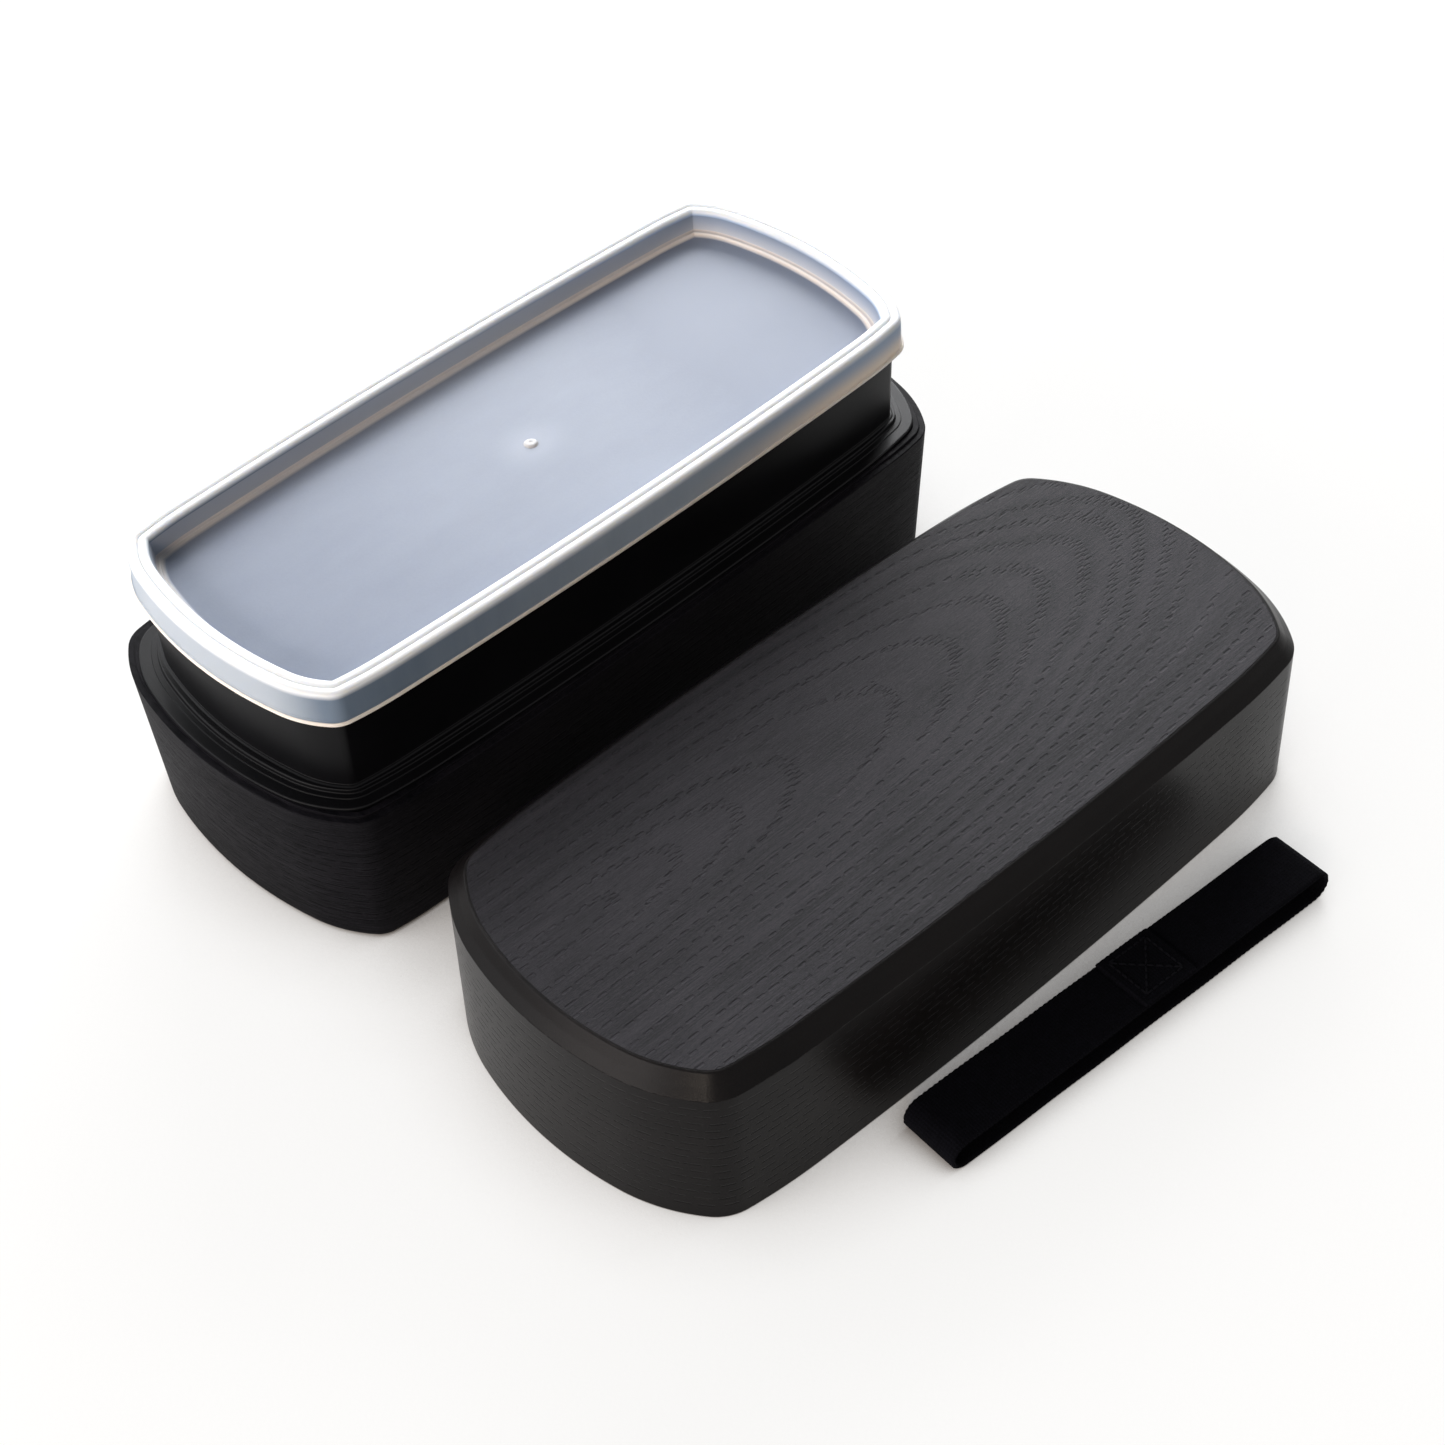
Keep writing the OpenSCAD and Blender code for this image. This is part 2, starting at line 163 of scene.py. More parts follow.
class Skin:
    """A closed surface through stacked rings, with per-corner layers for the materials."""

    def __init__(self, sections, steps, low_cap=None, high_cap=None):
        flat = [outline(s[:5], steps) for s in sections]
        rings = [np.column_stack([f, np.full(len(f), s[5])]) for f, s in zip(flat, sections)]
        before = cap(flat[0], sections[0][5], *low_cap)[::-1] if low_cap else []
        after = cap(flat[-1], sections[-1][5], *high_cap) if high_cap else []
        self.first = len(before)
        self.rings = before + rings + after
        self.heights = np.array([r[0][2] for r in self.rings])
        self.lengths = np.array([r[:, 0].max() for r in self.rings])
        self.n = len(rings[0])
        self.points = np.vstack(self.rings)
        self.ring_of = np.repeat(np.arange(len(self.rings)), self.n)
        merged = np.arange(len(self.points))
        for ring in ([0] if low_cap else []) + ([len(self.rings) - 1] if high_cap else []):
            seen = {}
            for k in range(ring * self.n, (ring + 1) * self.n):
                key = tuple(np.round(self.points[k][:2], 4) + 0.0)
                merged[k] = seen.setdefault(key, k)
        self.faces, self.columns = [], []
        n = self.n
        for i in range(len(self.rings) - 1):
            for k in range(n):
                near, far, after = i * n, (i + 1) * n, (k + 1) % n
                corners = [(near + k, k), (near + after, k + 1), (far + after, k + 1), (far + k, k)]
                kept = []
                for v, column in corners:
                    if merged[v] not in [w for w, _ in kept]:
                        kept.append((merged[v], column))
                if len(kept) > 2:
                    self.faces.append([v for v, _ in kept])
                    self.columns.append([c for _, c in kept])

    def object(self, name, layers=None, place=(0, 0, 0)):
        """The mesh as an object. layers maps a name to fn(points, rings, columns) giving one row per corner."""
        used = sorted({v for f in self.faces for v in f})
        index = {v: i for i, v in enumerate(used)}
        faces = [[index[v] for v in f] for f in self.faces]
        points = self.points[used]
        mesh = bpy.data.meshes.new(name)
        mesh.from_pydata([tuple(p * MM) for p in points], [], faces)
        if layers:
            flat = np.array([v for f in self.faces for v in f])
            columns = np.array([c for f in self.columns for c in f])
            for layer, fn in layers.items():
                put_layer(mesh, layer, "CORNER", fn(self.points[flat], self.ring_of[flat], columns))
        solid = bmesh.new()
        solid.from_mesh(mesh)
        inside_out = solid.calc_volume(signed=True) < 0
        solid.free()
        if inside_out:
            mesh.flip_normals()
        return finish_object(mesh, place)


def put_layer(mesh, name, domain, values):
    """Stores a vector per point or per corner for the materials to read."""
    made = mesh.attributes.new(name, "FLOAT_VECTOR", domain)
    made.data.foreach_set("vector", np.asarray(values, np.float32).ravel())


def tube(start, rings, around):
    """Faces of a closed tube through rings of points, of which the first has number start."""
    faces = []
    for i in range(rings - 1):
        near, far = start + i * around, start + (i + 1) * around
        for k in range(around):
            j = (k + 1) % around
            faces.append([near + k, near + j, far + j, far + k])
    faces.append([start + k for k in range(around)][::-1])
    faces.append([start + (rings - 1) * around + k for k in range(around)])
    return faces


def finish_object(mesh, place=(0, 0, 0)):
    """Links a mesh as a smooth-shaded object, turned and moved into its place in the vertices."""
    moved = Matrix.Translation((place[0] * MM, place[1] * MM, 0))
    mesh.transform(moved @ Matrix.Rotation(math.radians(place[2]), 4, "Z"))
    mesh.shade_smooth()
    mesh.update()
    obj = bpy.data.objects.new(mesh.name, mesh)
    bpy.context.scene.collection.objects.link(obj)
    return obj


def stand_in(obj, body, node, material):
    """Makes a piece take the place of a CAD node, ride on its body and wear a material."""
    obj.data.materials.clear()
    obj.data.materials.append(material)
    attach(obj, body)
    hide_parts(node)
    return obj


# ---- shader arithmetic ----------------------------------------------------------------------
class Value:
    """A number inside a material, on which ordinary arithmetic adds Math nodes."""

    def __init__(self, tree, socket):
        self.tree, self.socket = tree, socket

    def op(self, operation, *others):
        node = self.tree.nodes.new("ShaderNodeMath")
        node.operation = operation
        for socket, value in zip(node.inputs, (self,) + others):
            if isinstance(value, Value):
                self.tree.links.new(value.socket, socket)
            else:
                socket.default_value = value
        return Value(self.tree, node.outputs[0])

    def __add__(self, other):
        return self.op("ADD", other)

    def __sub__(self, other):
        return self.op("SUBTRACT", other)

    def __mul__(self, other):
        return self.op("MULTIPLY", other)

    def __truediv__(self, other):
        return self.op("DIVIDE", other)

    __radd__, __rmul__ = __add__, __mul__

    def __rsub__(self, other):
        return (self * -1.0) + other

    def step(self, low, high):
        """0 below low, 1 above high, smooth between; with low above high it falls instead."""
        node = self.tree.nodes.new("ShaderNodeMapRange")
        node.interpolation_type = "SMOOTHSTEP"
        if low > high:
            low, high = high, low
            node.inputs["To Min"].default_value, node.inputs["To Max"].default_value = 1.0, 0.0
        node.inputs["From Min"].default_value, node.inputs["From Max"].default_value = low, high
        self.tree.links.new(self.socket, node.inputs["Value"])
        return Value(self.tree, node.outputs["Result"])


def mixed(a, b, factor):
    """a where factor is 0 and b where it is 1."""
    return a + (b - a) * factor


class Finish:
    """A Principled material and what its nodes are built from."""

    def __init__(self, name, colour, roughness, specular=0.5):
        self.material = bpy.data.materials.new(name)
        self.material.use_nodes = True
        self.tree = self.material.node_tree
        self.shader = self.tree.nodes["Principled BSDF"]
        self.shader.inputs["Base Color"].default_value = (*colour, 1)
        self.shader.inputs["Roughness"].default_value = roughness
        self.shader.inputs["Specular IOR Level"].default_value = specular

    def split(self, socket):
        node = self.tree.nodes.new("ShaderNodeSeparateXYZ")
        self.tree.links.new(socket, node.inputs[0])
        return [Value(self.tree, s) for s in node.outputs]

    def join(self, *values):
        node = self.tree.nodes.new("ShaderNodeCombineXYZ")
        for socket, value in zip(node.inputs, values):
            if isinstance(value, Value):
                self.tree.links.new(value.socket, socket)
            else:
                socket.default_value = value
        return node.outputs[0]

    def layer(self, name):
        node = self.tree.nodes.new("ShaderNodeAttribute")
        node.attribute_name = name
        return node.outputs["Vector"]

    def position(self):
        return self.tree.nodes.new("ShaderNodeTexCoord").outputs["Object"]

    def scaled(self, vector, x, y, z):
        node = self.tree.nodes.new("ShaderNodeVectorMath")
        node.operation = "MULTIPLY"
        self.tree.links.new(vector, node.inputs[0])
        node.inputs[1].default_value = (x, y, z)
        return node.outputs[0]

    def noise(self, vector, scale, detail=2.0, rough=0.5, distortion=0.0):
        node = self.tree.nodes.new("ShaderNodeTexNoise")
        self.tree.links.new(vector, node.inputs["Vector"])
        node.inputs["Scale"].default_value = scale
        node.inputs["Detail"].default_value = detail
        node.inputs["Roughness"].default_value = rough
        node.inputs["Distortion"].default_value = distortion
        return Value(self.tree, node.outputs["Fac"])

    def random(self, *values):
        """Three random numbers for a pair of whole numbers."""
        node = self.tree.nodes.new("ShaderNodeTexWhiteNoise")
        self.tree.links.new(self.join(*values), node.inputs["Vector"])
        return self.split(node.outputs["Color"])

    def shade(self, value, low, high):
        """Base colour between two colours."""
        node = self.tree.nodes.new("ShaderNodeMix")
        node.data_type = "RGBA"
        self.tree.links.new(value.socket, node.inputs["Factor"])
        node.inputs["A"].default_value = (*low, 1)
        node.inputs["B"].default_value = (*high, 1)
        return node

    def blend(self, factor, a, b, colour=None):
        """Mix of the results of two colour nodes, or of one and a colour."""
        node = self.shade(factor, (0, 0, 0), colour or (0, 0, 0))
        self.tree.links.new(a.outputs["Result"], node.inputs["A"])
        if b:
            self.tree.links.new(b.outputs["Result"], node.inputs["B"])
        return node

    def into(self, name, value):
        self.tree.links.new(value.socket if isinstance(value, Value) else value, self.shader.inputs[name])

    def bump(self, height, distance, strength=1.0):
        node = self.tree.nodes.new("ShaderNodeBump")
        node.inputs["Strength"].default_value = strength
        node.inputs["Distance"].default_value = distance
        self.tree.links.new(height.socket, node.inputs["Height"])
        return node.outputs["Normal"]


# ---- wood grain: ring field of the cover's top and rows of pores round the walls ----------------
# Tips of the nested arches along the cover, the line they lie on, and each arch's half width below and above it
TIPS = np.array([-77, -58, -39, -20.5, 13, 36, 54.5, 69.5, 84.5, 96.5, 105, 116, 126, 150, 168, 185, 200])
AXIS_X = np.array([-60, -39, -20, 13, 36, 54, 70, 85, 97])
AXIS_Y = np.array([10.3, 10.7, 11.4, 11.8, 13.1, 15.0, 14.6, 15.3, 16.2])
BELOW = np.array([4.6, 10.3, 13.5, 16.7, 19.8, 23.2, 26.3, 29.8, 34.2, 38.6, 41.9, 45, 48.6, 52, 55, 58.4, 62])
ABOVE = np.array([3.8, 8.4, 11.8, 15.2, 18.8, 22.9, 26.4, 29.8, 33.2, 36.6, 40, 43.4, 46.8, 50.2, 53.6, 57, 60.4])
TOP_PITCH, WALL_PITCH, WALL_ROW, DASH_LANE = 4.2, 5.5, 2.5, 1.25


def ring_field(x, y):
    """Ring number at points of the cover's top: whole on each line of pores. Also the side of the axis."""
    x, y = x[:, None], y[:, None]
    y = y + 0.35 * np.sin(x / 19 + 1.1) + 0.2 * np.sin(x / 7.3 + y / 9)
    offset = y - np.interp(x, AXIS_X, AXIS_Y)
    reach = np.where(offset < 0, BELOW, ABOVE)
    back = np.clip(TIPS - x, 0, None)
    width = reach * (1 - np.exp(-np.sqrt(back * back + 9 * back) / (23 + 0.14 * TIPS)))
    side, offset = offset[:, 0], np.abs(offset)
    passed = (TIPS <= x).sum(1)
    inside = np.maximum((width <= offset).sum(1), passed)
    inside = np.minimum(inside, len(TIPS) - 1)
    rows = np.arange(len(x))
    tips = np.concatenate([[TIPS[0] - 18], TIPS])
    axis = passed + (x[:, 0] - tips[passed]) / (tips[np.minimum(passed + 1, len(TIPS))] - tips[passed])
    low_w = np.where(inside > passed, width[rows, inside - 1], 0.0)
    low_q = np.where(inside > passed, inside, np.maximum(axis, passed - 1.0))
    return low_q + (inside + 1 - low_q) * (offset[:, 0] - low_w) / (width[rows, inside] - low_w), side


def wall_rows(u, z, length):
    """Row number on a wall at arc length u and height z, with a slow waviness, and its slope along u."""
    turn = 2 * math.pi / length
    wave = 0.34 * np.sin(2 * turn * u + 1) + 0.16 * np.sin(5 * turn * u) + 0.07 * np.sin(11 * turn * u + 2)
    slope = turn * (0.68 * np.cos(2 * turn * u + 1) + 0.8 * np.cos(5 * turn * u) + 0.77 * np.cos(11 * turn * u + 2))
    return z / WALL_ROW + wave, slope


def ramp(value, low, high):
    """0 below low, 1 above high, smooth between."""
    t = np.clip((value - low) / (high - low), 0, 1)
    return t * t * (3 - 2 * t)


def grain_layers(base, steps, wall, top=None, edge=None, smooth=None):
    """Layers for the wood finish. wall, top and smooth are (first, last) rings, edge is the ring of the lighter edge
    line.
    """
    ring = outline(base, steps)
    gaps = np.linalg.norm(np.roll(ring, -1, 0) - ring, axis=1)
    u = np.concatenate([[0], np.cumsum(gaps)])
    pitch = u[-1] / round(u[-1] / WALL_PITCH)
    u, length = u / pitch, u[-1]

    def where(rings, span):
        return (rings >= span[0]) & (rings <= span[1]) if span else np.zeros(len(rings), bool)

    def pores(points, rings, columns):
        on_top, on_wall = where(rings, top), where(rings, wall)
        along = np.where(on_top, points[:, 0] / TOP_PITCH, u[columns])
        across = np.where(on_top, points[:, 1], points[:, 2])
        return np.column_stack([along, across, on_top * 1.0 + on_wall * 0.5])

    def top_rows(points):
        x, y = points[:, 0], points[:, 1]
        e = 0.3
        q, side = ring_field(x, y)
        along = (ring_field(x + e, y)[0] - ring_field(x - e, y)[0]) / (2 * e)
        across = (ring_field(x, y + e)[0] - ring_field(x, y - e)[0]) / (2 * e)
        return q, along, across, side

    def rows(points, rings, columns):
        on_top = where(rings, top)
        q, slope = wall_rows(u[columns] * pitch, points[:, 2], length)
        out = np.column_stack([q, slope, np.full(len(q), 1 / WALL_ROW)])
        if on_top.any():
            out[on_top] = np.column_stack(top_rows(points[on_top])[:3])
        return out

    def style(points, rings, columns):
        """How far the pores are short and stacked, how far they lie in two rows, and their depth."""
        out = np.zeros((len(points), 3))
        out[:, 2] = 1
        on_top = where(rings, top)
        if on_top.any():
            q, along, across, side = top_rows(points[on_top])
            slope = np.abs(along) / np.maximum(np.abs(across), 1e-6)
            inner = 1 - ramp(q, 5.6, 7.5)
            stacked = np.maximum(ramp(slope, 0.36, 0.5), (side > 0) * inner * ramp(slope, 0.3, 0.4))
            twin = np.where(side > 0, inner * ramp(slope, 0.07, 0.12), inner * ramp(slope, 0.24, 0.3))
            depth = 0.5 + 0.5 * ramp(points[on_top, 0], -104, -62)
            out[on_top] = np.column_stack([stacked, twin, depth])
        return out

    def fibre(points, rings, columns):
        on_top = where(rings, top)
        x, y, z = points.T
        flat, upright = np.column_stack([x * 0.03, y, z * 0]), np.column_stack([x * 0.03, y * 0.03, z])
        return np.where(on_top[:, None], flat, upright)

    # Marks the ring of the lighter edge line, the smooth chamfer and the top.
    def wear(points, rings, columns):
        edge_line = rings == edge if edge is not None else rings < 0
        return np.column_stack([edge_line * 1.0, where(rings, smooth) * 1.0, where(rings, top) * 1.0])

    return {"pores": pores, "rows": rows, "style": style, "fibre": fibre, "wear": wear}


def wood_finish(name, dark, light, top_dark_with_sheen, top_light_with_sheen, depth, specular, roughness=0.5):
    """Black wood-look plastic: embossed pores along the growth rings, their edges on the top given a painted
    highlight, fibre streaks, a top painted lighter and bluer than the walls as a painted sheen, and a lighter broken
    line along the chamfer's lower edge.
    """
    f = Finish(name, dark, roughness, specular)
    along, across, share = f.split(f.layer("pores"))
    q, q_along, q_across = f.split(f.layer("rows"))
    stacked, twin, deep = f.split(f.layer("style"))
    fibre = f.layer("fibre")
    edge_line, smooth, on_top = f.split(f.layer("wear"))
    row = q.op("ROUND")
    off = q - row
    row_a, row_b, _ = f.random(row, 3.0, 0.0)
    pitch = on_top * (TOP_PITCH - WALL_PITCH) + WALL_PITCH

    def capsules(shift, beside_by, radius, short, spread, seed):
        """Long pores: one to a cell along the grain, laid on the ring where the cell's middle is."""
        place = along + row_a * 7.0 + shift
        cell = place.op("FLOOR")
        r1, r2, r3 = f.random(cell, row, seed)
        ahead = (place - cell - 0.5 - (r1 - 0.5) * 0.16) * pitch
        beside = (off - q_along * ahead * 0.85) / q_across - beside_by + (r3 - 0.5) * 0.12
        past = (ahead.op("ABSOLUTE") - (r2 * spread + short)).op("MAXIMUM", 0.0)
        gap = (past * past + beside * beside).op("SQRT") - radius
        return gap.step(0.08, -0.08) * r3.step(0.02, 0.05)

    def dashes(shift, ahead_by, seed):
        """Short pores stacked where a ring runs across the grain: one to a lane, on one side of the ring."""
        lane = across * (1 / DASH_LANE) + shift
        cell = lane.op("FLOOR")
        s1, s2, s3 = f.random(cell, row, seed)
        rise = (lane - cell - 0.5 - (s3 - 0.5) * 0.2) * DASH_LANE
        side = (off - q_across * rise) / q_along - ahead_by + (s1 - 0.5) * 1.3
        past = (side.op("ABSOLUTE") - (s2 * 0.5 + 0.6)).op("MAXIMUM", 0.0)
        gap = (past * past + rise * rise).op("SQRT") - 0.22
        return gap.step(0.08, -0.06) * s3.step(0.08, 0.12)

    single = capsules(0.0, 0.0, on_top * 0.14 + 0.2, on_top * -0.78 + 1.5, 0.5, 0.0)
    double = capsules(0.0, 0.45, 0.24, 0.75, 0.35, 7.0).op("MAXIMUM", capsules(0.5, -0.45, 0.24, 0.75, 0.35, 9.0))
    stack = dashes(0.0, 1.1, 5.0).op("MAXIMUM", dashes(0.5, -1.1, 6.0))
    patches = f.noise(f.scaled(fibre, 0.35, 0.06, 0.06), 1.0, 2.0)
    strength = (patches.step(0.3, 0.5) * 0.3 + 0.7) * (row_b * 0.25 + 0.75) * deep
    pore = mixed(mixed(single, double, twin), stack, stacked) * strength * share.step(0.1, 0.45)

    # Fibres: fine streaks along the grain, slow bands that follow the rings, and a grainy tooth
    streaks = f.noise(fibre, 2.6, 4.0, 0.65)
    fine = f.noise(f.scaled(fibre, 5.0, 1, 1), 6.0, 3.0, 0.7)
    bands = f.noise(f.join(q * 1.7, along * 0.02, 4.0), 1.0, 2.0)
    slow = f.noise(f.scaled(fibre, 0.5, 0.05, 0.05), 1.0, 3.0, 0.6)
    pits = f.noise(f.position(), 2600.0, 2.0, 0.6)
    scratch = f.noise(f.scaled(fibre, 2.2, 0.7, 0.7), 3.1, 1.0, 0.5, 0.4).step(0.66, 0.74)
    grainy = 1.0 - smooth
    tone = (streaks - 0.5) * 1.7 * grainy + (bands - 0.5) * on_top + (fine - 0.5) * 1.9 * grainy
    tone = tone + (slow - 0.5) * 1.5 + 0.45
    # A pore is darker inside, less so on the top, where its edge has a painted highlight
    tone = tone - pore * (0.6 - on_top * 0.48) + pore * (1.0 - pore) * on_top * 1.2
    tone = tone + (pits - 0.5) * 0.8 + scratch * grainy * 0.35
    line_breaks = f.noise(f.scaled(f.position(), 260, 260, 260), 1.0, 3.0, 0.6).step(0.46, 0.58)
    tone = tone.op("MAXIMUM", 0.0).op("MINIMUM", 1.0)
    # The top takes lighter, bluer colours than the walls: a painted sheen from the light behind.
    upright, flat = f.shade(tone, dark, light), f.shade(tone, top_dark_with_sheen, top_light_with_sheen)
    mix = f.blend(on_top, upright, flat)
    # A lighter broken line along the chamfer's lower edge.
    edge = f.blend(edge_line.step(0.45, 1.0) * line_breaks * 0.8, mix, None, (0.08, 0.076, 0.074))
    f.into("Base Color", edge.outputs["Result"])
    rough = (0.5 - streaks) * 0.3 * grainy + (0.5 - fine) * 0.25 * grainy + pore * 0.06 - smooth * 0.2 + roughness
    f.into("Roughness", rough.op("MINIMUM", 1.0))
    fibres = ((streaks - 0.5) * 0.32 + (fine - 0.5) * 0.28) * grainy
    f.into("Normal", f.bump((1.0 - pore) * (on_top * 0.7 + 0.3) + fibres + (pits - 0.5) * 0.07, depth * MM))
    return f.material


def satin_finish(name, colour, light, roughness, specular=0.5):
    """Smooth moulded plastic with a fine matt texture, faint flow marks and scuffs."""
    f = Finish(name, colour, roughness, specular)
    grain = f.noise(f.position(), 2400.0, 2.0, 0.6)
    cloud = f.noise(f.position(), 38.0, 3.0, 0.6)
    scuff = f.noise(f.scaled(f.position(), 60, 900, 900), 1.0, 3.0, 0.7, 0.6).step(0.62, 0.78)
    mix = f.shade((cloud * 0.7 + grain * 0.3 + scuff * 0.35).op("MINIMUM", 1.0), colour, light)
    f.into("Base Color", mix.outputs["Result"])
    f.into("Roughness", (cloud - 0.5) * 0.16 + (grain - 0.5) * 0.1 - scuff * 0.05 + roughness)
    f.into("Normal", f.bump(grain * 0.5 + cloud * 0.5, 0.05 * MM, 0.6))
    return f.material


# ---- cover ----------------------------------------------------------------------------------
COVER_STEPS = (14, 18, 22, 10, 62)


def make_cover():
    m, h = MOUTH, COVER_H
    chamfer_z = h - CHAMFER_H
    sections = held(rounded([
        (inset(m, COVER_DRAFT + CHAMFER_IN + COVER_WALL + 2), h - COVER_WALL, 0),
        (inset(m, COVER_DRAFT + CHAMFER_IN + COVER_WALL * 0.42), h - COVER_WALL, 1.6),
        (inset(m, COVER_DRAFT + COVER_WALL), chamfer_z - COVER_WALL * 0.5, 2.0),
        (inset(m, COVER_WALL), 0, 0.5),
        (m, 0, 0.5),
        (inset(m, COVER_DRAFT), chamfer_z, 0.35),
        (inset(m, COVER_DRAFT + CHAMFER_IN * 0.5 + 0.1), (chamfer_z + h) / 2 - 0.1, 7.0),
        (inset(m, COVER_DRAFT + CHAMFER_IN), h, 0.9),
        (inset(m, COVER_DRAFT + CHAMFER_IN + 2), h, 0),
    ]), longest=8.0)
    skin = Skin(sections, COVER_STEPS, low_cap=(6,), high_cap=(34,))
    heights, lengths = skin.heights, skin.lengths
    outer = np.arange(len(skin.rings)) > skin.first + 8
    on_wall = np.where(outer & (heights > 0.8) & (heights < chamfer_z - 0.6) & (lengths > m[0] - 1.2))[0]
    on_top = np.where(outer & (heights > h - 0.001))[0]
    edge_ring = int(np.argmin(np.where(outer, np.abs(heights - chamfer_z), 99)))
    chamfer = np.where(outer & (heights > chamfer_z + 0.3) & (heights < h - 0.1))[0]
    layers = grain_layers(m, COVER_STEPS, (on_wall[0], on_wall[-1]), (on_top[0] + 1, on_top[-1]), edge_ring,
                          (chamfer[0], chamfer[-1]))
    # The top's colours carry a painted sheen, lighter and bluer than the walls'.
    finish = wood_finish("black_wood_grain", (0.0016, 0.0014, 0.0014), (0.0092, 0.0076, 0.0078),
                         (0.012, 0.0116, 0.0137), (0.0305, 0.029, 0.034), depth=0.55, specular=0.075)
    return stand_in(skin.object("cover_shell", layers, COVER_PLACE), "cover", "cover", finish)


# ---- lower box ------------------------------------------------------------------------------
BOX_STEPS = (7, 10, 16, 4, 24)


def make_lower_box():
    floor_shape = inset(RIM, LOWER_DRAFT)
    inner = LOWER_DRAFT + LOWER_WALL
    sections = held(rounded([
        (inset(floor_shape, LOWER_EDGE + 2), 0, 0),
        (floor_shape, 0, LOWER_EDGE),
        (RIM, LEDGE_Z, 0.3),
        (inset(RIM, LEDGE_W), LEDGE_Z, 0.15),
        (inset(RIM, LEDGE_W), LIP_Z, 0.45),
        (inset(RIM, LIP_IN), LIP_Z, 0.45),
        (inset(RIM, LIP_IN), PLUG_Z, 1.5),
        (inset(RIM, inner), LOWER_FLOOR, INNER_R),
        (inset(RIM, inner + INNER_R + 2), LOWER_FLOOR, 0),
    ]), longest=8.0)
    skin = Skin(sections, BOX_STEPS, low_cap=(6,), high_cap=(8,))
    heights = skin.heights
    outer = np.arange(len(skin.rings)) < skin.first + np.argmax(heights[skin.first:])
    on_wall = np.where(outer & (heights > LOWER_EDGE) & (heights < LEDGE_Z - 0.6))[0]
    layers = grain_layers(RIM, BOX_STEPS, (on_wall[0], on_wall[-1]))
    finish = wood_finish("black_wood_grain_box", (0.0013, 0.0013, 0.0019), (0.0092, 0.0085, 0.011),
                         (0.001, 0.001, 0.001), (0.005, 0.005, 0.005), depth=0.2, specular=0.03)
    return stand_in(skin.object("lower_box_shell", layers), "lower_box", "lower_box", finish)


# ---- divider --------------------------------------------------------------------------------
def make_divider():
    """Upright plate across the lower box with a rail round its sides and foot, edges rounded."""
    inner = inset(RIM, LOWER_DRAFT + LOWER_WALL)
    side_r = radii(inner)[4]
    x = DIVIDER_RAIL / 2
    low_w = inner[1] - side_r + math.sqrt(side_r ** 2 - x * x) - DIVIDER_GAP
    top_w = low_w + (LOWER_DRAFT + LOWER_WALL - LIP_IN) * DIVIDER_H / (PLUG_Z - LOWER_FLOOR)
    cut = INNER_R + DIVIDER_GAP
    z0, z1 = LOWER_FLOOR, LOWER_FLOOR + DIVIDER_H
    outer = [(-top_w, z1), (-low_w, z0 + cut), (-low_w + cut, z0), (low_w - cut, z0), (low_w, z0 + cut), (top_w, z1)]
    t = DIVIDER_T
    inner_line = [(-top_w + t, z1), (-low_w + t, z0 + cut + t / 2), (-low_w + cut + t / 2, z0 + t),
                  (low_w - cut - t / 2, z0 + t), (low_w - t, z0 + cut + t / 2), (top_w - t, z1)]
    half_t, half_r = DIVIDER_T / 2, DIVIDER_RAIL / 2
    verts, faces = [], []

    def ring(line, xs):
        start = len(verts)
        for px in xs:
            verts.extend((px, y, z) for y, z in line)
        return start

    n = len(outer)
    # outer skin of the rail, its two faces, its inner faces and the plate on each side
    o = ring(outer, (-half_r, half_r))
    i = ring(inner_line, (-half_r, -half_t, half_t, half_r))
    for k in range(n - 1):
        faces.append((o + k, o + k + 1, o + n + k + 1, o + n + k))
        faces.append((o + k, i + k, i + k + 1, o + k + 1))
        faces.append((o + n + k, o + n + k + 1, i + 3 * n + k + 1, i + 3 * n + k))
        faces.append((i + k, i + n + k, i + n + k + 1, i + k + 1))
        faces.append((i + 3 * n + k, i + 3 * n + k + 1, i + 2 * n + k + 1, i + 2 * n + k))
    faces.append(tuple(i + n + k for k in range(n)))
    faces.append(tuple(i + 2 * n + k for k in range(n - 1, -1, -1)))
    for a, s in ((0, 1), (n - 1, -1)):
        loop = (o + a, o + n + a, i + 3 * n + a, i + 2 * n + a, i + n + a, i + a)
        faces.append(loop if s > 0 else loop[::-1])
    faces.append((i + n, i + 2 * n, i + 2 * n + n - 1, i + n + n - 1))
    mesh = bpy.data.meshes.new("divider_plate")
    mesh.from_pydata([tuple(c * MM for c in v) for v in verts], [], faces)
    obj = finish_object(mesh)
    obj.data.shade_flat()
    bevel = obj.modifiers.new("edges", "BEVEL")
    bevel.width, bevel.segments, bevel.limit_method, bevel.angle_limit = 0.3 * MM, 3, "ANGLE", 0.5
    bevel.harden_normals = True
    finish = satin_finish("black_plastic_divider", (0.004, 0.004, 0.0045), (0.011, 0.011, 0.012), 0.45, 0.2)
    return stand_in(obj, "divider", "divider", finish)


